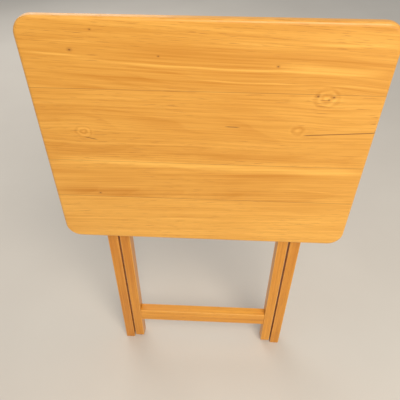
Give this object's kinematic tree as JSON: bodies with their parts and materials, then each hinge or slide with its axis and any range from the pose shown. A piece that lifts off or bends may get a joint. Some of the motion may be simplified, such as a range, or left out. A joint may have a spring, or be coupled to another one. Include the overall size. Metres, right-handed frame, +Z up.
{
  "type": "folding tray table",
  "caption": "Wooden tray table that folds flat: a rounded rectangular top on crossed legs, held open by a round rail that sits in hooks under the top.",
  "frame": {"origin": "on the floor under the middle of the folded table, which stands upright on its leg ends", "axes": "+X to the right across the table, +Y from the top's surface towards the back of the legs, +Z up along the legs"},
  "size_m": [0.483, 0.0598, 0.74],
  "materials": {
    "board_wood": "clear satin lacquer on edge-glued light hardwood, honey coloured",
    "leg_wood": "clear satin lacquer on solid light hardwood, honey coloured",
    "zinc_steel": "zinc plated",
    "brass": "machined",
    "nylon": "moulded, natural"
  },
  "bodies": {
    "centre_pivots": {"pivot_bolt_left": "zinc_steel", "pivot_bolt_right": "zinc_steel", "pivot_cap_nut_left": "zinc_steel", "pivot_cap_nut_right": "zinc_steel", "pivot_spacer_left": "nylon", "pivot_spacer_right": "nylon", "pivot_washer_left": "zinc_steel", "pivot_washer_right": "zinc_steel"},
    "outer_frame": {"hinge_insert_left": "brass", "hinge_insert_right": "brass", "outer_leg_left": "leg_wood", "outer_leg_right": "leg_wood", "outer_rail": "leg_wood", "outer_rail_plug_1": "leg_wood", "outer_rail_plug_2": "leg_wood", "outer_rail_plug_3": "leg_wood", "outer_rail_plug_4": "leg_wood", "outer_rail_screw_1": "zinc_steel", "outer_rail_screw_2": "zinc_steel", "outer_rail_screw_3": "zinc_steel", "outer_rail_screw_4": "zinc_steel"},
    "inner_frame": {"inner_leg_left": "leg_wood", "inner_leg_right": "leg_wood", "inner_stretcher": "leg_wood", "stretcher_dowel_1": "leg_wood", "stretcher_dowel_2": "leg_wood", "stretcher_dowel_3": "leg_wood", "stretcher_dowel_4": "leg_wood"},
    "catch_rail": {"catch_rail": "leg_wood"},
    "top": {"catch_hook_left": "leg_wood", "catch_hook_right": "leg_wood", "catch_hook_screw_1": "zinc_steel", "catch_hook_screw_2": "zinc_steel", "catch_hook_screw_3": "zinc_steel", "catch_hook_screw_4": "zinc_steel", "cleat_left": "leg_wood", "cleat_right": "leg_wood", "cleat_screw_1": "zinc_steel", "cleat_screw_2": "zinc_steel", "cleat_screw_3": "zinc_steel", "cleat_screw_4": "zinc_steel", "cleat_screw_5": "zinc_steel", "cleat_screw_6": "zinc_steel", "hinge_bolt_left": "zinc_steel", "hinge_bolt_right": "zinc_steel", "hinge_washer_left": "zinc_steel", "hinge_washer_right": "zinc_steel", "top_board": "board_wood"}
  },
  "joints": [
    {"name": "outer_legs_spread", "type": "hinge", "parent": "centre_pivots", "child": "outer_frame", "pos_m": [0, 0.0021, 0.3425], "axis": [-1, 0, 0], "range_deg": [0, 22.5]},
    {"name": "inner_legs_spread", "type": "hinge", "parent": "centre_pivots", "child": "inner_frame", "pos_m": [0, 0.0021, 0.3425], "axis": [1, 0, 0], "range_deg": [0, 22.5]},
    {"name": "fold", "type": "hinge", "parent": "inner_frame", "child": "catch_rail", "pos_m": [0, 0.0021, 0.685], "axis": [-1, 0, 0], "range_deg": [0, 112.5]},
    {"name": "top_slide", "type": "slide", "parent": "catch_rail", "child": "top", "axis": [0, 0, 1], "range_m": [0, 0.26214]}
  ],
  "couplings": [
    {"joint": "outer_legs_spread", "follows": "fold", "ratio": 0.2},
    {"joint": "inner_legs_spread", "follows": "fold", "ratio": 0.2},
    {"joint": "top_slide", "follows": "fold", "m_per_rad": 0.13351}
  ]
}
